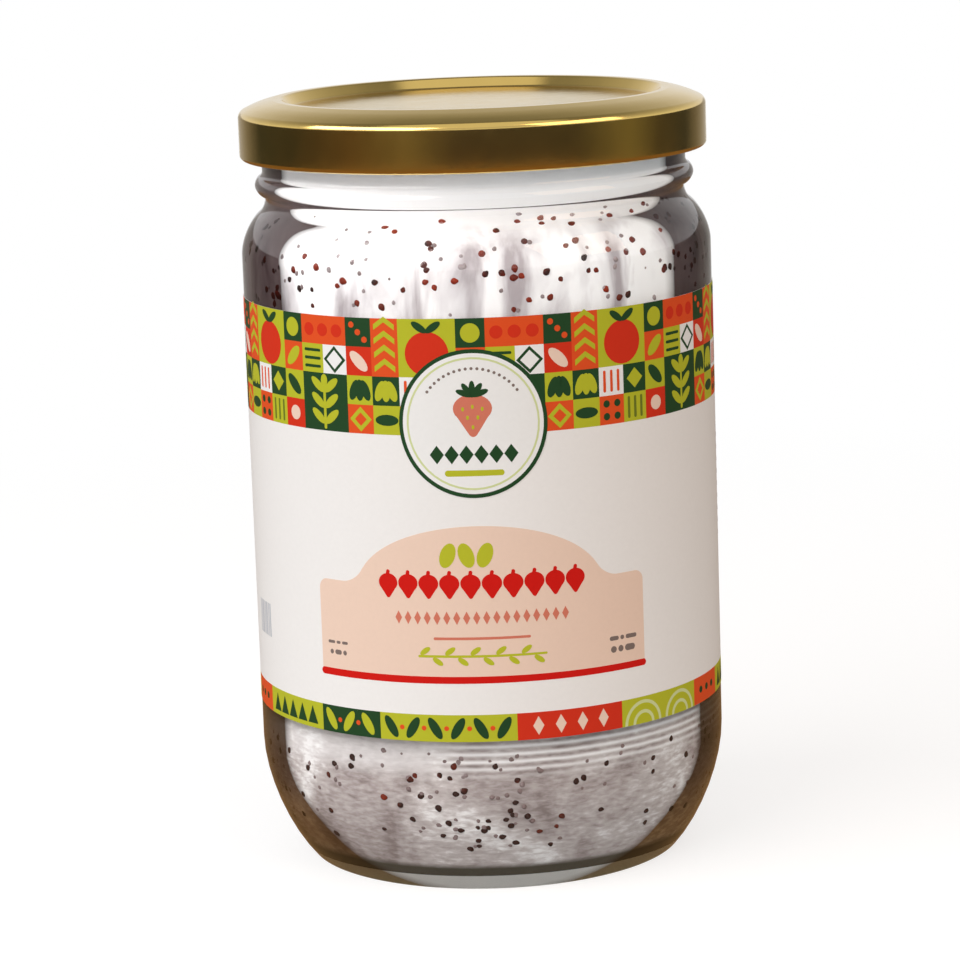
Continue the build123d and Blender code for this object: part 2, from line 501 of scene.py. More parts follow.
# %% Material: seeds
def make_seed_material(name, dark, light):
    material, tree, shader = new_material(name, Roughness=0.35, Specular_IOR_Level=0.2)
    place = object_place(tree, (-1200, 0))
    noise = add_noise(tree, (-1000, 0), place, 150.0)
    height = axes(tree, (-1000, 200), place)["Z"]
    lit = calculate(tree, (-850, 100), "MULTIPLY_ADD", height, 2.4, noise)
    shade = add_ramp(tree, (-700, 0), lit, [(0.62, dark), (0.88, light)])
    grain = add_grain(tree, 3000.0, 0.5)
    colour = mix_colours(tree, (-300, 0), 1.0, shade, grain["Shade"], "MULTIPLY")
    fill(tree, shader.inputs["Base Color"], colour)
    add_bump(tree, shader, grain["Height"], 0.05 * mm)
    return material


dark_seed = make_seed_material("dark_seed", (0.024, 0.007, 0.006), (0.26, 0.026, 0.008))
deep_seed = make_seed_material("deep_seed", (0.20, 0.15, 0.15), (0.36, 0.31, 0.32))

# %% [markdown]
# Paper and inks share one recipe: a half-matt coated sheet with the fine grain of paper.

# %% Materials: paper and inks
def make_ink(name, colour):
    material, tree, shader = new_material(name, Roughness=0.45, Specular_IOR_Level=0.15)
    grain = add_grain(tree, 1400.0, 0.05)
    shade = mix_colours(tree, (-300, 0), 1.0, colour, grain["Shade"], "MULTIPLY")
    fill(tree, shader.inputs["Base Color"], shade)
    add_bump(tree, shader, grain["Height"], 0.01 * mm)
    return material


paper = make_ink("label_paper", (0.91, 0.895, 0.88))
ink_colours = {
    "green": (0.018, 0.065, 0.022),
    "lime": (0.50, 0.52, 0.028),
    "olive": (0.16, 0.20, 0.02),
    "red": (0.68, 0.035, 0.012),
    "orange": (0.78, 0.088, 0.018),
    "deep_red": (0.66, 0.010, 0.006),
    "white": (0.90, 0.90, 0.89),
    "pale_lime": (0.66, 0.72, 0.36),
    "peach": (0.88, 0.66, 0.535),
    "salmon": (0.68, 0.20, 0.13),
    "grey": (0.22, 0.17, 0.15),
    "pale_grey": (0.58, 0.60, 0.64),
}
inks = {name: make_ink("ink_" + name, colour) for name, colour in ink_colours.items()}
print("inks:", sorted(inks))

# %% [markdown]
# The jar is one wall of glass. Its outside runs from the hollow under the base over the foot, the
# heel, the straight body, the shoulder and the waist to a bead and the finish under the lid. The
# inside follows it a wall's thickness away.

# %% Glass jar: sizes
wall = 2.4 * mm
inner_radius = body_radius - wall
heel_height = 21.8 * mm  # where the straight wall turns in towards the foot
foot_radius = body_radius - 8.4 * mm
foot_width = 3.6 * mm
foot_round = 1.8 * mm
hollow_round = 0.6 * mm  # where the hollow under the base meets the foot
push_up = 3.4 * mm  # rise of that hollow
base_thickness = 4.4 * mm
floor_radius = body_radius - 12 * mm
floor_edge = 3.4 * mm  # height of the inside floor at its rim
floor_round = 4 * mm
finish_radius = body_radius - 4.3 * mm
waist_radius = finish_radius - 0.3 * mm
waist_height = glass_height - 17.1 * mm
shoulder_round = 10 * mm
waist_round = 2.8 * mm
bead_radius = finish_radius + 1.4 * mm
bead_round = 1.9 * mm
bead_hollow = 1.2 * mm  # the small inward curves above and below the bead
mouth_radius = finish_radius - 2.9 * mm
rim_round = 1.2 * mm
print("wall", wall / mm, "mouth radius", mouth_radius / mm, "mm")

# %% Glass jar: the outside
def outside_corners():
    """Corners of the outside, from the axis under the base to the rim."""
    hollow_edge = foot_radius - foot_width
    hollow_reach, hollow_radius = long_arc(hollow_edge, push_up)
    heel_drop, heel_radius = long_arc(heel_height, body_radius - foot_radius)
    shoulder_step = waist_radius - body_radius
    shoulder_start = waist_height - curve_rise(shoulder_step, shoulder_round, waist_round)
    shoulder, waist = s_curve(body_radius, shoulder_start, shoulder_step, shoulder_round, waist_round)
    bead_foot, bead_top = s_curve(waist_radius, waist, bead_radius - waist_radius, bead_hollow, bead_round)
    bead_end, _ = s_curve(bead_radius, bead_top, finish_radius - bead_radius, bead_round, bead_hollow)
    return [
        (0, push_up),
        (hollow_reach, push_up, hollow_radius),
        (hollow_edge, 0),
        (foot_radius, 0),
        (body_radius, heel_height - heel_drop, heel_radius),
        *shoulder,
        *bead_foot,
        *bead_end,
        (finish_radius, glass_height, rim_round),
    ]


print("outside corners:", len(outside_corners()))

# %% Glass jar: the inside
def inside_corners(gap=0.0):
    """Corners of the inside, from the rim down to the axis at the floor, gap outside the wall."""
    middle_height = push_up + base_thickness
    heel_drop, heel_radius = long_arc(heel_height - floor_edge, inner_radius - floor_radius)
    dome_reach, dome_radius = long_arc(floor_radius, middle_height - floor_edge)
    neck_step = mouth_radius - inner_radius
    neck_rounds = shoulder_round - wall, waist_round + wall
    neck_start = waist_height - curve_rise(neck_step, *neck_rounds)
    neck, _ = s_curve(inner_radius + gap, neck_start, neck_step, *neck_rounds)
    return [
        *reversed(neck),
        (inner_radius + gap, heel_height - heel_drop, heel_radius),
        (floor_radius + gap, floor_edge - gap),
        (dome_reach, middle_height - gap, dome_radius),
        (0, middle_height - gap),
    ]


print("inside corners:", len(inside_corners()))

# %% Glass jar: draw, round and turn it
jar = start_point("glass_jar")
draw_line(jar, outside_corners() + [(mouth_radius, glass_height, rim_round)] + inside_corners())
round_corner(jar, Vector((foot_radius, 0, 0)), foot_round)
round_corner(jar, Vector((foot_radius - foot_width, 0, 0)), hollow_round)
round_corner(jar, Vector((floor_radius, 0, floor_edge)), floor_round)
turn_section()
pick(jar, "verts", lambda vert: vert.co.z < 0)
bpy.ops.transform.resize(value=(1, 1, 0), center_override=(0, 0, 0))
bpy.ops.object.mode_set(mode="OBJECT")
print("glass verts:", len(jar.data.vertices))

# %% [markdown]
# Six short ridges under the rim are the thread starts that the lid's lugs turn under. One is a
# small section turned through part of a circle with its ends closed, and the others are copies.
# With no window open, rotate and spin both turn clockwise for a positive angle.

# %% Glass jar: thread starts
def part_ring(name, corners, arc):
    """A ridge: a closed section turned through an arc centred on +X, its ends filled."""
    ridge = start_point(name)
    draw_line(ridge, corners, closed=True)
    bpy.ops.mesh.select_all(action="SELECT")
    bpy.ops.mesh.edge_face_add()
    bpy.ops.transform.rotate(value=-arc / 2, orient_axis="Z", center_override=(0, 0, 0))
    bpy.ops.mesh.spin(steps=16, angle=arc, center=(0, 0, 0), axis=(0, 0, 1))
    bpy.ops.mesh.select_all(action="SELECT")
    bpy.ops.mesh.remove_doubles(threshold=doubles_gap)
    bpy.ops.mesh.fill_holes(sides=0)
    bpy.ops.mesh.normals_make_consistent(inside=False)
    bpy.ops.object.mode_set(mode="OBJECT")
    return ridge


def copies_round(piece, count):
    """The piece and its copies, each with its own mesh, evenly round Z."""
    pieces = [piece]
    for index in range(1, count):
        copy = piece.copy()
        copy.data = piece.data.copy()
        copy.data.transform(Matrix.Rotation(2 * math.pi * index / count, 4, "Z"))
        bpy.context.collection.objects.link(copy)
        pieces.append(copy)
    return pieces


thread_foot = glass_height - 7.95 * mm
thread_height = 2.0 * mm
thread_root = finish_radius - 0.5 * mm
thread_crest = finish_radius + 1.5 * mm
thread = part_ring("thread_start", [
    (thread_root, thread_foot),
    (thread_crest, thread_foot + thread_height / 4),
    (thread_crest, thread_foot + thread_height / 2),
    (thread_root, thread_foot + thread_height),
], math.radians(36))
start_count = 6
jar = join([jar, *copies_round(thread, start_count)], "glass_jar")
settle(jar, glass, "jar", 30)

# %% [markdown]
# The lid is a pressed sheet: a sunk panel, a raised ring over the rim, a rounded corner, a plain
# skirt and an edge rolled inwards. It is drawn as one line, turned, and given the sheet's
# thickness by Solidify.

# %% Lid: sizes
sheet_thickness = 0.3 * mm
curl_radius = 0.85 * mm
crest_round = 0.7 * mm
corner_round = 1.4 * mm
slope_round = 14 * mm
slope_bow = 0.35 * mm  # how far the slope outside the ring bulges at its middle
lug_thickness = 0.9 * mm
lug_top = thread_foot - 0.3 * mm
curl_height = lug_top - lug_thickness / 2
panel_height = glass_height - 0.8 * mm
corner_height = glass_height - 1.1 * mm
crest_inner = mouth_radius - 1.2 * mm
crest_outer = crest_inner + 1.6 * mm
print("lid radius", lid_radius / mm, "ring inner radius", crest_inner / mm, "mm")

# %% Lid: draw, turn and thicken it
lid = start_point("gold_lid")
lid_corners = [
    (0, panel_height),
    (mouth_radius - 2.5 * mm, panel_height, crest_round),
    (crest_inner, crest_height, crest_round),
    (crest_outer, crest_height, crest_round),
    ((crest_outer + lid_radius) / 2, (crest_height + corner_height) / 2 + slope_bow, slope_round),
    (lid_radius, corner_height, corner_round),
    (lid_radius, curl_height),
]
for degrees in range(12, 241, 12):
    angle = math.radians(degrees)
    across = lid_radius - curl_radius + curl_radius * math.cos(angle)
    lid_corners.append((across, curl_height - curl_radius * math.sin(angle)))
draw_line(lid, lid_corners)
turn_section()
bpy.ops.object.mode_set(mode="OBJECT")
apply_modifier(lid, "SOLIDIFY", thickness=sheet_thickness, offset=-1.0, use_even_offset=True)
print("lid box", [round(size / mm, 2) for size in lid.dimensions])

# %% Lid: lugs
lug_inner = finish_radius + 0.3 * mm
lug_outer = lid_radius - 2 * curl_radius + 0.25 * mm
lug = part_ring("lid_lug", [
    (lug_inner, lug_top - lug_thickness),
    (lug_outer, lug_top - lug_thickness),
    (lug_outer, lug_top),
    (lug_inner, lug_top),
], math.radians(14))
lid = join([lid, *copies_round(lug, start_count)], "gold_lid")
settle(lid, lacquer, "lid", 35)

# %% [markdown]
# The jam fills the glass. Its side reaches a tenth of a millimetre into the wall, so that no
# film of air shows between them. It is the inside of the jar cut off at the jam's level, with a
# slightly dished top drawn in ring by ring.

# %% Jam
reach = 0.1 * mm
jam = start_point("jam_body")
draw_line(jam, [(mouth_radius + reach, glass_height)] + inside_corners(reach))
round_corner(jam, Vector((floor_radius + reach, 0, floor_edge - reach)), floor_round)
turn_section()
bpy.ops.mesh.bisect(plane_co=(0, 0, jam_level), plane_no=(0, 0, 1), clear_outer=True)
pick(jam, "edges", lambda edge: edge.is_boundary)
dish = 0.7 * mm
ring_count = 16
for step in range(ring_count, 1, -1):
    shrink = (step - 1) / step
    sink = dish * (step**2 - (step - 1) ** 2) / ring_count**2
    bpy.ops.mesh.extrude_edges_move(TRANSFORM_OT_translate={"value": (0, 0, -sink)})
    bpy.ops.transform.resize(value=(shrink, shrink, 1), center_override=(0, 0, 0))
bpy.ops.mesh.merge(type="CENTER")
bpy.ops.mesh.select_all(action="SELECT")
bpy.ops.mesh.normals_make_consistent(inside=False)
bpy.ops.object.mode_set(mode="OBJECT")
settle(jam, jam_gel, "jam", 60)

# %% [markdown]
# A strawberry seed is a teardrop a little over a millimetre long. One is modelled from an
# icosphere, then copied with its own mesh to every place just behind the glass, more thickly
# about four middles.

# %% Seeds: one seed
def make_seed():
    bpy.ops.object.select_all(action="DESELECT")
    bpy.ops.mesh.primitive_ico_sphere_add(subdivisions=2, radius=0.5 * mm)
    seed = bpy.context.object
    bpy.ops.object.mode_set(mode="EDIT")
    bpy.ops.transform.resize(value=(0.92, 0.6, 1.05), center_override=(0, 0, 0))
    pick(seed, "verts", lambda vert: vert.co.z > 0.2 * mm)
    bpy.ops.transform.resize(value=(0.8, 0.8, 1.05), center_override=(0, 0, 0))
    bpy.ops.object.mode_set(mode="OBJECT")
    return seed


seed = make_seed()

# %% Seeds: strew them
def strew(name, places, size):
    """Copies of the seed at places of (angle from the front, height, depth) behind the glass."""
    copies = []
    for angle, height, depth in places:
        radius = side_radius(height) - depth
        turn = Matrix.Rotation(angle, 4, "Z")
        move = Matrix.Translation((0, -radius, height))
        tilt = Matrix.Rotation(draw.uniform(0, math.pi), 4, "Y")
        grow = Matrix.Scale(size * draw.uniform(0.8, 1.15), 4)
        copy = seed.copy()
        copy.data = seed.data.copy()
        copy.data.transform(turn @ move @ tilt @ grow)
        bpy.context.collection.objects.link(copy)
        copies.append(copy)
    return join(copies, name)


side_heights = [vert.co for vert in jam.data.vertices if abs(vert.co.y) < 0.01 * mm]
side_heights = sorted(
    (co.z, co.x) for co in side_heights if co.x > 0 and co.z < jam_level - 0.5 * mm)


def side_radius(height):
    """Radius of the jam's side at a height."""
    for (low, first), (high, second) in zip(side_heights, side_heights[1:]):
        if low <= height <= high and first > 20 * mm:
            share = (height - low) / max(high - low, 1e-9)
            return first + (second - first) * share
    return inner_radius


draw = random.Random(7)


def places_between(count, low, high, spread):
    """Places round the side, most of them crowded about four middles."""
    places = []
    for index in range(count):
        middle = -0.1 + math.pi / 2 * (index % 4)
        angle = draw.uniform(-math.pi, math.pi) if index % 3 == 0 else draw.gauss(middle, spread)
        places.append((angle, draw.uniform(low, high), (0.05 + 0.15 * draw.random()) * mm))
    return places


near_places = places_between(230, 105.5 * mm, 121 * mm, 0.55)
near_places += places_between(200, 9 * mm, 25 * mm, 0.22)
deep_places = places_between(170, 105 * mm, 122 * mm, 0.6)
deep_places += places_between(230, 9 * mm, 27 * mm, 0.3)
near_seeds = strew("near_seeds", near_places, 1.35)
deep_seeds = strew("deep_seeds", deep_places, 1.0)
bpy.data.objects.remove(seed)
settle(near_seeds, dark_seed, "jam", 60)
settle(deep_seeds, deep_seed, "jam", 60)

# %% [markdown]
# The label is a strip of paper wrapped round the body. It and its print are laid out flat first,
# across along X and up along Z, then cut into narrow columns and bent round the jar together.
# Each ink is a very thin layer, and a layer's level says how many lie under it.

# %% Label: lay a shape down
paper_radius = body_radius + 0.07 * mm
paper_thickness = 0.05 * mm
layer = 0.012 * mm
levels = 8
seam_gap = 7 * mm
label_half = math.pi * paper_radius - seam_gap / 2
artwork = []


def keep(shape, ink, level):
    """Lay a flat shape at its level and remember its ink and its depth down to the paper."""
    bpy.ops.object.mode_set(mode="OBJECT")
    shape.data.transform(Matrix.Translation((0, -level * layer, 0)) @ shape.matrix_world)
    shape.matrix_world = Matrix.Identity(4)
    shape.data.materials.append(inks[ink] if ink in inks else paper)
    group = shape.vertex_groups.new(name="depth")
    group.add(range(len(shape.data.vertices)), level / levels, "REPLACE")
    artwork.append(shape)
    return shape


def stand(shape, across, up, turn, ink, level, size=(1, 1)):
    """Stand a shape upright at a place in millimetres, turned by degrees and sized, and keep it."""
    shape.matrix_world = (
        Matrix.Translation((across * mm, 0, up * mm))
        @ Matrix.Rotation(math.radians(-turn), 4, "Y")
        @ Matrix.Rotation(math.pi / 2, 4, "X")
        @ Matrix.Diagonal((*size, 1, 1)))
    bpy.context.view_layer.update()
    return keep(shape, ink, level)


# %% Label: flat shapes
def circle(radius, sides):
    """A filled circle at the origin."""
    bpy.ops.object.select_all(action="DESELECT")
    bpy.ops.mesh.primitive_circle_add(vertices=sides, radius=radius, fill_type="NGON")
    return bpy.context.object


def tile(left, bottom, width, height, ink, level=1):
    """A rectangle."""
    bpy.ops.object.select_all(action="DESELECT")
    bpy.ops.mesh.primitive_plane_add(size=1)
    return stand(bpy.context.object, left + width / 2, bottom + height / 2, 0, ink, level,
                 (width * mm, height * mm))


def disc(across, up, width, height, ink, level=1, turn=0, sides=28):
    """An ellipse, or with few sides a diamond or a triangle, turned by degrees."""
    return stand(circle(0.5, sides), across, up, turn, ink, level, (width * mm, height * mm))


def capsule(across, up, length, width, ink, level=1, turn=0):
    """A bar with round ends, level when turn is nought."""
    shape = circle(width * mm / 2, 16)
    bpy.ops.object.mode_set(mode="EDIT")
    pick(shape, "verts", lambda vert: vert.co.x > 0.001 * mm)
    bpy.ops.transform.translate(value=((length - width) * mm, 0, 0))
    bpy.ops.mesh.select_all(action="SELECT")
    bpy.ops.transform.translate(value=(-(length - width) * mm / 2, 0, 0))
    bpy.ops.object.mode_set(mode="OBJECT")
    return stand(shape, across, up, turn, ink, level)


def ring(across, up, size, width, ink, level):
    """A round line: a circle inset by the line's width, its middle deleted."""
    shape = circle(size * mm / 2, 48)
    bpy.ops.object.mode_set(mode="EDIT")
    bpy.ops.mesh.select_all(action="SELECT")
    bpy.ops.mesh.inset(thickness=width * mm)
    bpy.ops.mesh.delete(type="FACE")
    bpy.ops.object.mode_set(mode="OBJECT")
    return stand(shape, across, up, 0, ink, level)


def outline(corners, ink, level=1):
    """Any closed outline, with corners in millimetres that may have radii."""
    shape = start_point("outline")
    draw_line(shape, [tuple(value * mm for value in corner) for corner in corners], closed=True)
    bpy.ops.mesh.select_all(action="SELECT")
    bpy.ops.mesh.edge_face_add()
    return keep(shape, ink, level)


print("paper radius", round(paper_radius / mm, 2), "half length", round(label_half / mm, 2), "mm")

# %% [markdown]
# The upper band is a mosaic of squares four rows high that repeats every seven columns. Its
# arrangement is a plain one of its own: a round fruit, a sprig, chevrons, diamonds, dots, bars and
# leaves. One repeat is drawn here, and an Array modifier carries it round the jar.

# %% Label: one repeat of the mosaic
artwork_middle = -1.65  # the artwork stands a little to the left of the label's middle
repeat_length = 35.9
column = repeat_length / 7
bottom_row = 84.4
row = (label_top / mm - bottom_row) / 4


def square(first_column, first_row, columns, rows, ink, level=1):
    """A block of the mosaic, counted in columns and in rows from the bottom."""
    return tile(first_column * column, bottom_row + first_row * row,
                columns * column, rows * row, ink, level)


def mosaic_blocks():
    """The repeat's colours: three large blocks first, then the rows from the top down."""
    blocks = (
        (0, 2, 2, 2, "lime"), (3, 0, 2, 2, "green"), (6, 2, 1, 2, "orange"),
        (2, 3, 1, 1, "green"), (3, 3, 2, 1, "orange"), (5, 3, 1, 1, "green"),
        (2, 2, 1, 1, "orange"), (3, 2, 1, 1, "lime"), (4, 2, 1, 1, "white"), (5, 2, 1, 1, "red"),
        (0, 1, 1, 1, "white"), (1, 1, 1, 1, "green"), (2, 1, 1, 1, "lime"), (5, 1, 1, 1, "lime"),
        (6, 1, 1, 1, "green"), (0, 0, 1, 1, "orange"), (1, 0, 1, 1, "lime"), (2, 0, 1, 1, "red"),
        (5, 0, 1, 1, "orange"), (6, 0, 1, 1, "lime"),
    )
    for first_column, first_row, columns, rows, ink in blocks:
        square(first_column, first_row, columns, rows, ink)


def middle(columns, rows):
    """The point that many columns and rows from the repeat's lower left corner."""
    return columns * column, bottom_row + rows * row


mosaic_blocks()
print("mosaic blocks:", len(artwork))

# %% Label: large figures on the mosaic
def leaves(across, up, reach, size, turns, ink, level=3, sides=16):
    """Leaves about a point, one for each turn, each that way out by the reach across and up."""
    for turn in turns:
        lean = math.radians(turn)
        disc(across + reach[0] * math.cos(lean), up + reach[1] * math.sin(lean), *size,
             ink, level, turn, sides)


def round_fruit():
    """A plain red disc under two short leaves, on the large lime block."""
    across, up = middle(1, 2.8)
    disc(across, up, 7.8, 7.8, "red", 2)
    leaves(across, up + 4.2, (1.5, 0.8), (3.2, 1.3), (35, 145), "green")


def sprig():
    """A lime stem with three pairs of leaves and one at its tip, on the large green block."""
    across, up = middle(4, 1)
    capsule(across, up - 0.2, 9.2, 0.6, "lime", 2, 90)
    disc(across, up + 3.8, 1.5, 2.3, "lime", 3, 0, 18)
    for above in (-3.4, -0.6, 2.2):
        leaves(across, up + above, (2.0, 1.3), (3.8, 1.5), (40, 140), "lime")


def chevrons():
    """Four lime chevrons up the tall orange block."""
    for rise in (2.12, 2.6, 3.08, 3.56):
        across, up = middle(6, rise)
        outline([
            (across + 0.6, up + 0.2), (across + column / 2, up + 1.6), (across + column - 0.6, up + 0.2),
            (across + column - 0.6, up + 1.2), (across + column / 2, up + 2.6), (across + 0.6, up + 1.2),
        ], "lime", 2)


round_fruit()
sprig()
chevrons()

# %% Label: small figures on the mosaic
def diamond(columns, rows, size, ink, level):
    across, up = middle(columns, rows)
    disc(across, up, size, size, ink, level, 0, 4)


def dots(columns, rows, places, size, ink):
    """Dots about a point, their places counted in columns and rows from it."""
    for aside, above in places:
        across, up = middle(columns + aside, rows + above)
        disc(across, up, size, size, ink, 2)


def bars(columns, rows, turn, ink):
    """Three bars side by side across a square."""
    for step in (-0.28, 0, 0.28):
        aside, above = (step, 0) if turn else (0, step)
        across, up = middle(columns + aside, rows + above)
        capsule(across, up, 3.9, 0.55, ink, 2, turn)


def leaf(columns, rows, length, ink, turn):
    across, up = middle(columns, rows)
    disc(across, up, length, 0.45 * length, ink, 2, turn, 18)


def diamonds_and_dots():
    diamond(4.5, 2.5, 4.8, "green", 2)
    diamond(4.5, 2.5, 3.4, "white", 3)
    diamond(5.5, 0.5, 4.4, "lime", 2)
    diamond(5.5, 0.5, 2.4, "orange", 3)
    diamond(1.5, 1.5, 3.6, "lime", 2)
    dots(0.5, 0.5, ((-0.22, -0.22), (-0.22, 0.22), (0.22, -0.22), (0.22, 0.22)), 1.3, "green")
    dots(5.5, 3.5, ((-0.25, 0.25), (0, 0), (0.25, -0.25)), 1.1, "orange")
    dots(4, 3.5, ((-0.62, 0), (0, 0), (0.62, 0)), 2.3, "red")
    dots(2.5, 3.5, ((0, 0),), 3.4, "lime")
    dots(2.5, 0.5, ((0, 0),), 2.6, "peach")


def bars_and_leaves():
    bars(3.5, 2.5, 0, "green")
    bars(1.5, 0.5, 90, "olive")
    bars(0.5, 1.5, 90, "orange")
    leaf(2.5, 2.5, 4.6, "lime", 45)
    leaf(5.5, 2.5, 4.6, "peach", -45)
    leaf(2.5, 1.5, 4.6, "green", -45)
    for aside, turn in ((0.28, 70), (0.5, 90), (0.72, 110)):
        leaf(5 + aside, 1.5, 3.8, "green", turn)
        leaf(6 + aside, 1.5, 3.8, "lime", turn)
    leaf(6.5, 0.5, 4.4, "green", 0)


diamonds_and_dots()
bars_and_leaves()
print("figures and blocks:", len(artwork))

# %% Label: carry the mosaic round
def trim(piece):
    """Cut a flat strip off at the label's two ends."""
    bpy.context.view_layer.objects.active = piece
    bpy.ops.object.mode_set(mode="EDIT")
    for end, side in ((-label_half, -1), (label_half, 1)):
        bpy.ops.mesh.select_all(action="SELECT")
        bpy.ops.mesh.bisect(plane_co=(end, 0, 0), plane_no=(side, 0, 0), clear_outer=True)
    bpy.ops.object.mode_set(mode="OBJECT")


def repeat(shapes, name, length, first, count):
    """Join shapes, start them at first and repeat them along the label."""
    strip = join(shapes, name)
    strip.data.transform(Matrix.Translation((first * mm, 0, 0)))
    apply_modifier(strip, "ARRAY", count=count, use_relative_offset=False,
                   use_constant_offset=True, constant_offset_displace=(length * mm, 0, 0))
    trim(strip)
    return strip


mosaic_start = artwork_middle + 28.2 - column - 5 * repeat_length
mosaic = repeat(artwork, "mosaic", repeat_length, mosaic_start, 9)
artwork = []
print("mosaic faces:", len(mosaic.data.polygons))

# %% [markdown]
# The lower band is narrower: plain blocks of colour with triangles, leaves, lozenges and arcs.
# The arcs are pale and lime half discs laid over each other by turns.

# %% Label: lower band
low = label_bottom / mm
band = 4.9
band_middle = low + band / 2
lower_length = 106.5


def lower_band():
    """The band's blocks of colour, then its triangles, lozenges and dots."""
    blocks = ((0, 18, "lime"), (18, 13, "green"), (31, 25, "lime"), (56, 20, "red"),
              (76, 19.6, "lime"), (95.6, 10.9, "orange"))
    for left, width, ink in blocks:
        tile(left, low, width, band, ink)
    for step in range(5):
        across = 1.4 + 3.1 * step
        outline([(across, low + 0.8), (across + 2.8, low + 0.8), (across + 1.4, low + 4.1)], "green", 2)
    for step in range(4):
        disc(59.8 + 4.1 * step, band_middle, 2.0, 3.4, "peach", 2, 0, 4)
    for step in range(3):
        disc(98.4 + 2.7 * step, band_middle, 1.3, 1.3, "green", 2, 0, 16)


def lower_leaves():
    """Leaves that lean left and right by turns, lime on the dark block and dark on the lime one."""
    pitch = 4.1
    for first, count, ink in ((20.2, 3, "lime"), (33.2, 6, "green")):
        for step in range(count):
            turn = 60 if step % 2 else 120
            disc(first + pitch * step, band_middle, 4.4, 1.7, ink, 2, turn, 18)
            if step:
                disc(first + pitch * (step - 0.5), band_middle, 0.9, 0.9, "orange", 3, 0, 12)


def lower_arcs():
    """Pale arcs that stand on the band's lower edge: pale and lime half discs by turns."""
    for across in (80.9, 90.7):
        for radius, ink, level in ((4.3, "pale_lime", 2), (3.7, "lime", 3),
                                   (2.5, "pale_lime", 4), (1.9, "lime", 5)):
            rim = []
            for step in range(21):
                angle = math.pi * step / 20
                rim.append((across + radius * math.cos(angle), low + radius * math.sin(angle)))
            outline(rim, ink, level)


lower_band()
lower_leaves()
lower_arcs()
lower = repeat(artwork, "lower_band", lower_length, artwork_middle - 50 - lower_length, 3)
artwork = []
print("lower band faces:", len(lower.data.polygons))

# %% [markdown]
# In the middle of the label are the badge and the title panel. No words are drawn: rows of
# berries, leaves and dashes stand where a label has its text.

# %% Label: badge
badge_up = 86.4
badge_size = 26.2
badge_rim = 0.7
dot_reach = 9.7


def badge():
    """A round badge: a dark rim, a thin lime one and an arc of dots."""
    x = artwork_middle
    face_size = badge_size - 2 * badge_rim
    disc(x, badge_up, badge_size, badge_size, "green", 5, 0, 72)
    disc(x, badge_up, face_size, face_size, "white", 6, 0, 72)
    ring(x, badge_up, face_size - 1.4, 0.35, "pale_lime", 7)
    for step in range(-9, 10):
        angle = math.radians(6 * step)
        aside, above = dot_reach * math.sin(angle), dot_reach * math.cos(angle)
        disc(x + aside, badge_up + above, 0.55, 0.55, "grey", 7, 0, 10)


def badge_berry():
    """The badge's figure: a strawberry with lime seeds under a crown of dark leaves."""
    x = artwork_middle
    up = badge_up + 2.0
    disc(x, up + 0.7, 6.8, 5.0, "salmon", 7)
    outline([(x - 3.2, up), (x, up - 5.0, 0.9), (x + 3.2, up)], "salmon", 7)
    for aside, above in ((-1.7, 0.6), (0, 1.0), (1.7, 0.6), (-0.9, -0.9), (0.9, -0.9), (0, -2.6)):
        disc(x + aside, up + above, 0.5, 0.8, "lime", 8, 0, 8)
    leaves(x, up + 3.0, (1.5, 1.1), (3.0, 1.1), (20, 55, 90, 125, 160), "green", 8, 14)


def badge_rows():
    """Under the berry, a row of dark lozenges and a lime bar."""
    for step in range(6):
        disc(artwork_middle - 6.5 + 2.6 * step, badge_up - 5.4, 2.5, 3.3, "green", 7, 0, 4)
    capsule(artwork_middle, badge_up - 8.7, 10.4, 1.1, "lime", 7)


badge()
badge_berry()
badge_rows()
print("shapes in the badge:", len(artwork))

# %% Label: title panel
panel_low = 40.9
panel_shoulder = 57.6
panel_half = 31.4
arch_half = 22.9
arch_foot = 56
arch_rise = 12.3


def title_panel():
    """A peach panel with an arched top, standing on a red bar."""
    x = artwork_middle
    arch = []
    for degrees in range(20, 161, 4):
        angle = math.radians(degrees)
        arch.append((x + arch_half * math.cos(angle), arch_foot + arch_rise * math.sin(angle)))
    outline([
        (x + panel_half, panel_low),
        (x + panel_half, panel_shoulder, 1.8),
        (x + arch_half + 0.4, panel_shoulder, 4.5),
        *arch,
        (x - arch_half - 0.4, panel_shoulder, 4.5),
        (x - panel_half, panel_shoulder, 1.8),
        (x - panel_half, panel_low),
    ], "peach")
    capsule(x, panel_low - 0.2, 2 * panel_half + 0.6, 1.3, "deep_red", 2)
    capsule(x + 0.3, 48.2, 17.2, 0.5, "salmon", 2)


def berry(across, up, width, height):
    """A plain bold strawberry with a short stem."""
    disc(across, up + 0.12 * height, width, 0.66 * height, "deep_red", 2)
    outline([(across - 0.46 * width, up), (across, up - height / 2, 0.4),
             (across + 0.46 * width, up)], "deep_red", 2)
    capsule(across, up + 0.46 * height, 1.3, 0.7, "deep_red", 2, 80)


def title_rows():
    """Rows in place of words: lime leaves, bold berries, lozenges, a line and a lime twig."""
    x = artwork_middle
    for aside, turn in ((-5.3, 70), (-2.0, 110), (1.3, 70)):
        disc(x + aside, 63.1, 4.6, 2.7, "lime", 2, turn, 20)
    for step in range(10):
        berry(x - 16.4 + 3.75 * step, 57.5, 3.6, 4.9)
    for step in range(18):
        disc(x - 14.6 + 1.76 * step, 51.9, 1.25, 2.4, "salmon", 2, 0, 4)
    twig_up = 45.0
    capsule(x + 0.3, twig_up, 23.0, 0.45, "lime", 2)
    for step in range(10):
        side = 1 - 2 * (step % 2)
        disc(x - 9.9 + 2.25 * step, twig_up + 0.95 * side, 2.2, 1.0, "lime", 2, 35 * side, 14)


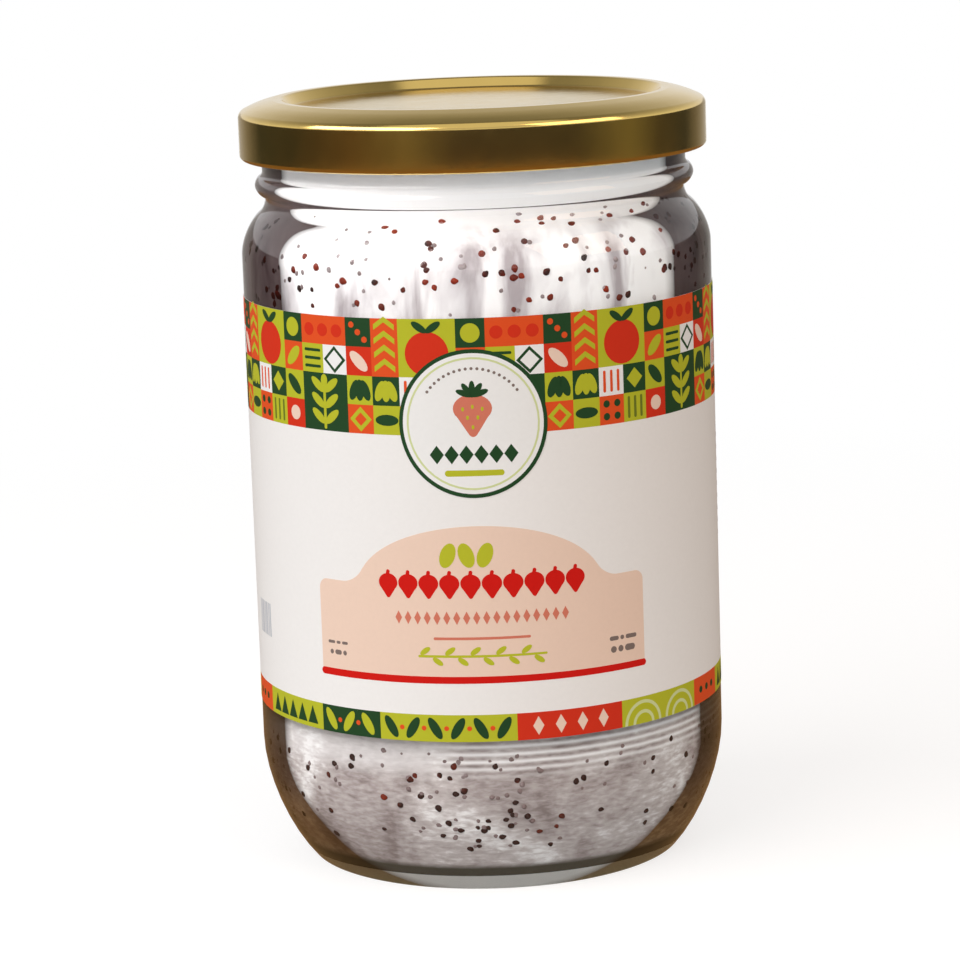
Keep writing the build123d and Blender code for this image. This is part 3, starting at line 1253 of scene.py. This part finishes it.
def dashes(first, up, height, widths):
    """A row of small grey dashes with the given widths."""
    across = first
    for width in widths:
        capsule(across + width / 2, up, width, height, "grey", 2)
        across += width + 0.35


title_panel()
title_rows()
dashes(artwork_middle - 29.8, 46.2, 0.55, (1.6, 0.9, 1.3))
dashes(artwork_middle - 29.4, 44.4, 0.9, (0.8, 1.5, 0.8))
dashes(artwork_middle + 23.8, 46.0, 0.8, (1.9, 0.8, 2.4))
dashes(artwork_middle + 24.0, 44.0, 1.2, (1.2, 1.1, 2.2))
print("shapes in the badge and title:", len(artwork))

# %% [markdown]
# Left and right of the title a label has its small print. Here it is plain: a pale grey block,
# a ruled box and paragraphs of short dashes.

# %% Label: side panels
def side_panels():
    """A block of thin bars at the left and paragraphs further round."""
    for step in range(9):
        tile(artwork_middle - 55.6 + 0.75 * step, 43.6, 0.35 + 0.12 * (step % 3), 6.2, "pale_grey")
    for left in (-106, 64):
        for line in range(9):
            dashes(left, 76 - 2.3 * line, 0.6, [2.2 + 1.3 * ((line + step) % 3) for step in range(6)])


def ruled_box(left, bottom, width, lines, line_height):
    """A box of thin rules with two short dashes on each line."""
    tile(left, bottom, width, 0.3, "grey")
    for line in range(lines):
        foot = bottom + line_height * line
        tile(left, foot, width, 0.2, "grey")
        tile(left + 2, foot + 1.2, 9 - line % 3, 0.7, "grey")
        tile(left + 18, foot + 1.2, 4 + line % 2, 0.7, "grey")
    for edge in (left, left + width):
        tile(edge, bottom, 0.25, lines * line_height, "grey")


side_panels()
ruled_box(92, 44, 26, 6, 3)
print("flat shapes besides the bands:", len(artwork))

# %% Label: cut, bend and part the inks
def cut_columns(piece, width):
    """Cut flat shapes into columns, so that they can follow the curve."""
    bpy.context.view_layer.objects.active = piece
    bpy.ops.object.mode_set(mode="EDIT")
    count = int(label_half / width)
    for step in range(-count, count + 1):
        bpy.ops.mesh.select_all(action="SELECT")
        bpy.ops.mesh.bisect(plane_co=(step * width, 0, 0), plane_no=(1, 0, 0))
    pick(piece, "faces", lambda face: face.normal.y > 0)
    bpy.ops.mesh.flip_normals()
    bpy.ops.object.mode_set(mode="OBJECT")


def bend(piece):
    """Wrap a flat piece round the jar, its middle to the front."""
    across = [vert.co.x for vert in piece.data.vertices]
    angle = (max(across) - min(across)) / paper_radius
    apply_modifier(piece, "SIMPLE_DEFORM", deform_method="BEND", deform_axis="Z", angle=angle)
    piece.data.transform(Matrix.Translation((0, -paper_radius, 0)))


tile(-label_half / mm, label_bottom / mm, 2 * label_half / mm, (label_top - label_bottom) / mm, "paper", 0)
sheet = artwork.pop()
flat = join([sheet, mosaic, lower, *artwork], "label_artwork")
cut_columns(flat, 2 * mm)
bend(flat)
bpy.ops.object.mode_set(mode="EDIT")
bpy.ops.mesh.separate(type="MATERIAL")
bpy.ops.object.mode_set(mode="OBJECT")
parts = [piece for piece in bpy.context.scene.objects if piece.name.startswith("label_artwork")]
for piece in parts:
    material = piece.data.materials[0]
    if material == paper:
        piece.name = "label_paper"
        apply_modifier(piece, "SOLIDIFY", thickness=paper_thickness, offset=-1.0)
        settle(piece, paper, "label", 30)
    else:
        piece.name = material.name.replace("ink", "print")
        apply_modifier(piece, "SOLIDIFY", thickness=levels * layer, offset=-1.0, vertex_group="depth")
        settle(piece, material, "label", 30)
print("label pieces:", sorted(piece.name for piece in parts))

# %% [markdown]
# The studio is plain: a pale floor that fades to white, a white surround, two soft boxes to the
# left and right of the camera with a weak one between them, and a dark panel and a brown table
# that only reflections see.

# %% Studio: white surround
def seen_directly(tree):
    """One for camera, glossy and transmission rays, nought for the rest."""
    path = add_node(tree, "ShaderNodeLightPath", (-900, 600)).outputs
    direct = calculate(tree, (-700, 600), "MAXIMUM", path["Is Camera Ray"], path["Is Glossy Ray"])
    return calculate(tree, (-500, 600), "MAXIMUM", direct, path["Is Transmission Ray"])


def make_world():
    """White all round. Reflections see a room that darkens upwards, with one bright patch above."""
    world = bpy.data.worlds.new("studio")
    bpy.context.scene.world = world
    world.use_nodes = True
    world.cycles.sampling_method = "NONE"
    tree = world.node_tree
    background = tree.nodes["Background"]
    way = add_node(tree, "ShaderNodeTexCoord", (-900, 0)).outputs["Generated"]
    room = add_ramp(tree, (-500, 0), axes(tree, (-700, 0), way)["Z"], [
        (0.0, 0.85), (0.18, 0.83), (0.5, 0.50), (0.85, 0.20)])
    toward = add_node(tree, "ShaderNodeVectorMath", (-700, 200), {0: way, 1: (0, -0.45, 0.89)},
                      operation="DOT_PRODUCT")
    patch = add_ramp(tree, (-500, 200), toward.outputs["Value"], [(0.80, 0.0), (0.87, 1.0)])
    reflected = mix_colours(tree, (-350, 0), patch, room, (0.76, 0.75, 0.72))
    glossy = add_node(tree, "ShaderNodeLightPath", (-500, -300)).outputs["Is Glossy Ray"]
    colour = mix_colours(tree, (-200, 0), glossy, (1.0, 1.0, 1.0), reflected)
    fill(tree, background.inputs["Color"], colour)
    strength = map_range(tree, (-200, -300), seen_directly(tree), 0, 1, 0.45, 1.0)
    fill(tree, background.inputs["Strength"], strength)


make_world()
print("world:", bpy.context.scene.world.name)

# %% Studio: floor
def make_floor():
    """A pale floor that keeps the jar's shadow near it and glows to white further off."""
    bpy.ops.object.select_all(action="DESELECT")
    bpy.ops.mesh.primitive_plane_add(size=12)
    floor = bpy.context.object
    floor.name = "floor"
    material, tree, shader = new_material("floor", Roughness=0.9, Specular_IOR_Level=0.0)
    distance = add_node(tree, "ShaderNodeVectorMath", (-1000, 200),
                        {0: object_place(tree, (-1200, 200))}, operation="LENGTH")
    share = map_range(tree, (-800, 200), distance.outputs["Value"], 0.10, 0.45)
    glow = add_ramp(tree, (-600, 200), share, [(0.0, 0.66), (1.0, 1.0)])
    dye = add_ramp(tree, (-600, -100), share, [(0.0, 0.42), (1.0, 0.0)])
    fill(tree, shader.inputs["Base Color"], dye)
    fill(tree, shader.inputs["Emission Color"], glow)
    fill(tree, shader.inputs["Emission Strength"], seen_directly(tree))
    floor.data.materials.append(material)
    print("floor", floor.dimensions.x, "m across")


make_floor()

# %% Studio: soft boxes
jar_middle = Vector((0, 0, 70 * mm))


def soft_box(name, azimuth, elevation, width, height, strength, colour):
    """An area lamp one metre from the jar. Azimuth 0 is the camera's side, and left is negative."""
    around = math.radians(azimuth)
    above = math.radians(elevation)
    away = Vector((math.sin(around) * math.cos(above), -math.cos(around) * math.cos(above), math.sin(above)))
    bpy.ops.object.light_add(type="AREA", location=jar_middle + away)
    lamp = bpy.context.object
    lamp.name = name
    lamp.rotation_euler = away.to_track_quat("Z", "Y").to_euler()
    lamp.data.shape = "RECTANGLE"
    lamp.data.size = width
    lamp.data.size_y = height
    lamp.data.energy = strength * math.pi * width * height
    lamp.data.color = colour
    print(name, round(lamp.data.energy, 2), "W")
    return lamp


soft_box("left_box", -57, 35, 1.1, 0.5, 4.5, (1.0, 0.97, 0.955))
soft_box("right_box", 57, 35, 0.75, 0.5, 2.7, (1.0, 0.77, 0.60))
front_fill = soft_box("front_fill", -8, 13, 0.9, 0.35, 1.2, (1.0, 0.97, 0.95))
front_fill.visible_glossy = False

# %% [markdown]
# Polished metal and glass look like what they reflect. A low dark wall stands round the front,
# browner in some places and paler at its two ends, and a brown table top lies round the foot. Both
# glow with their own colour and are hidden from every ray but a reflection.

# %% Studio: the dark wall
panel_reach = 165  # degrees to each side of the front
panel_radius = 0.7
wall_foot = 1 * mm
wall_top = 190 * mm


def reflected_only(panel, material):
    """Give a panel its material and hide it from every ray but a reflection."""
    panel.data.materials.append(material)
    for ray in ("camera", "diffuse", "transmission", "shadow", "volume_scatter"):
        setattr(panel, "visible_" + ray, False)


def glow_material(name, **values):
    """A material with no reflection of its own, for what is only seen reflected."""
    return new_material(
        name, Roughness=1.0, Specular_IOR_Level=0.0, Base_Color=(0, 0, 0), Emission_Strength=1.0, **values)


def dark_panel():
    """A wall round the front whose brown varies along it, by the turn from the front."""
    panel = start_point("dark_panel")
    draw_line(panel, [(panel_radius, wall_foot), (panel_radius, wall_top)])
    bpy.ops.mesh.select_all(action="SELECT")
    bpy.ops.transform.rotate(
        value=math.radians(90 - panel_reach), orient_axis="Z", center_override=(0, 0, 0))
    bpy.ops.mesh.spin(
        steps=96, angle=math.radians(2 * panel_reach), center=(0, 0, 0), axis=(0, 0, 1))
    bpy.ops.object.mode_set(mode="OBJECT")
    material, tree, shader = glow_material("dark_panel")
    split = axes(tree, (-800, 0), object_place(tree, (-1000, 0)))
    front = calculate(tree, (-650, -100), "MULTIPLY", split["Y"], -1.0)
    turn = calculate(tree, (-500, 0), "ARCTAN2", split["X"], front)
    share = map_range(
        tree, (-350, 0), turn, math.radians(-panel_reach), math.radians(panel_reach))
    browns = [
        (-165, (0.50, 0.48, 0.45)), (-140, (0.20, 0.18, 0.15)), (-125, (0.05, 0.05, 0.04)),
        (-95, (0.045, 0.042, 0.035)), (-59, (0.10, 0.065, 0.035)), (-31, (0.16, 0.13, 0.075)),
        (-8, (0.055, 0.045, 0.04)), (50, (0.055, 0.048, 0.04)), (80, (0.17, 0.15, 0.085)),
        (100, (0.07, 0.06, 0.045)), (125, (0.05, 0.05, 0.045)), (142, (0.20, 0.18, 0.15)),
        (165, (0.50, 0.48, 0.45)),
    ]
    brown = add_ramp(tree, (-200, 0), share, [
        ((turned + panel_reach) / (2 * panel_reach), colour) for turned, colour in browns])
    fill(tree, shader.inputs["Emission Color"], brown)
    reflected_only(panel, material)
    print("dark wall stops:", len(browns))


dark_panel()

# %% Studio: the brown table
def brown_table():
    """A round brown table top about the foot, so that what faces down looks warm."""
    table = circle(panel_radius, 64)
    table.name = "brown_table"
    bpy.ops.object.mode_set(mode="EDIT")
    bpy.ops.mesh.select_all(action="SELECT")
    bpy.ops.transform.translate(value=(0, 0, 0.1 * mm))
    bpy.ops.mesh.inset(thickness=panel_radius - (foot_radius + 0.2 * mm))
    bpy.ops.mesh.delete(type="FACE")
    bpy.ops.object.mode_set(mode="OBJECT")
    reflected_only(table, glow_material("brown_table", Emission_Color=(0.24, 0.13, 0.05))[0])
    print("table faces:", len(table.data.polygons))


brown_table()

# %% [markdown]
# The camera looks slightly down at the front from two thirds of a metre, a little tilted.

# %% Camera
camera_place = (0, -0.6665, 0.1946)
camera_swing = 0.07  # degrees to the left
camera_dip = 10.73  # degrees below level
camera_roll = -1.98  # degrees
camera_lens = 136.95  # mm


def make_camera():
    bpy.ops.object.camera_add()
    camera = bpy.context.object
    camera.name = "camera"
    turn = (
        Matrix.Rotation(math.radians(camera_swing), 4, "Z")
        @ Matrix.Rotation(math.radians(90 - camera_dip), 4, "X")
        @ Matrix.Rotation(math.radians(camera_roll), 4, "Z"))
    camera.matrix_world = Matrix.Translation(camera_place) @ turn
    camera.data.lens = camera_lens
    camera.data.sensor_width = 36
    bpy.context.scene.camera = camera
    print("camera lens", camera.data.lens, "mm")


make_camera()
bpy.context.scene.view_settings.view_transform = "Standard"
